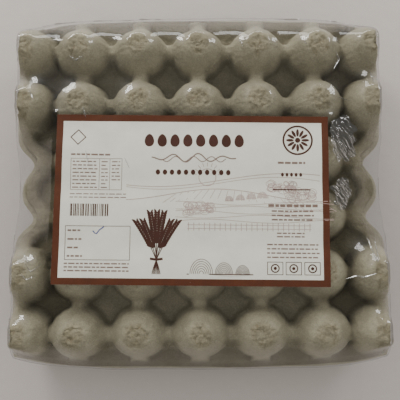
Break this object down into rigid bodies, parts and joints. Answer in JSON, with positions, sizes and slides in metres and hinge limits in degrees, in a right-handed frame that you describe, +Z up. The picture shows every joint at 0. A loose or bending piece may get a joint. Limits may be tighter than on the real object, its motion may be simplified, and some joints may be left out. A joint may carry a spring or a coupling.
{
  "type": "shrink-wrapped egg tray pack",
  "caption": "Shut pack of eggs: two moulded-pulp egg trays laid face to face, held by clear shrink film, with a printed paper label lying flat on the cups of the upper tray.",
  "frame": {"origin": "under the middle of the pack, on the surface that it lies on", "axes": "+Z up, towards the labelled side; +X across the pack, along the label's long side; +Y along the pack, towards the label's upper edge"},
  "size_m": [0.3042, 0.2904, 0.0808],
  "materials": {
    "pulp_front": "grey-olive moulded pulp, rough and matt",
    "pulp_back": "grey-olive moulded pulp, rough and matt",
    "label_paper": "smooth white paper with a brown printed border"
  },
  "bodies": {
    "root": {"tray_front": "pulp_front", "tray_back": "pulp_back", "label": "label_paper"}
  },
  "joints": []
}
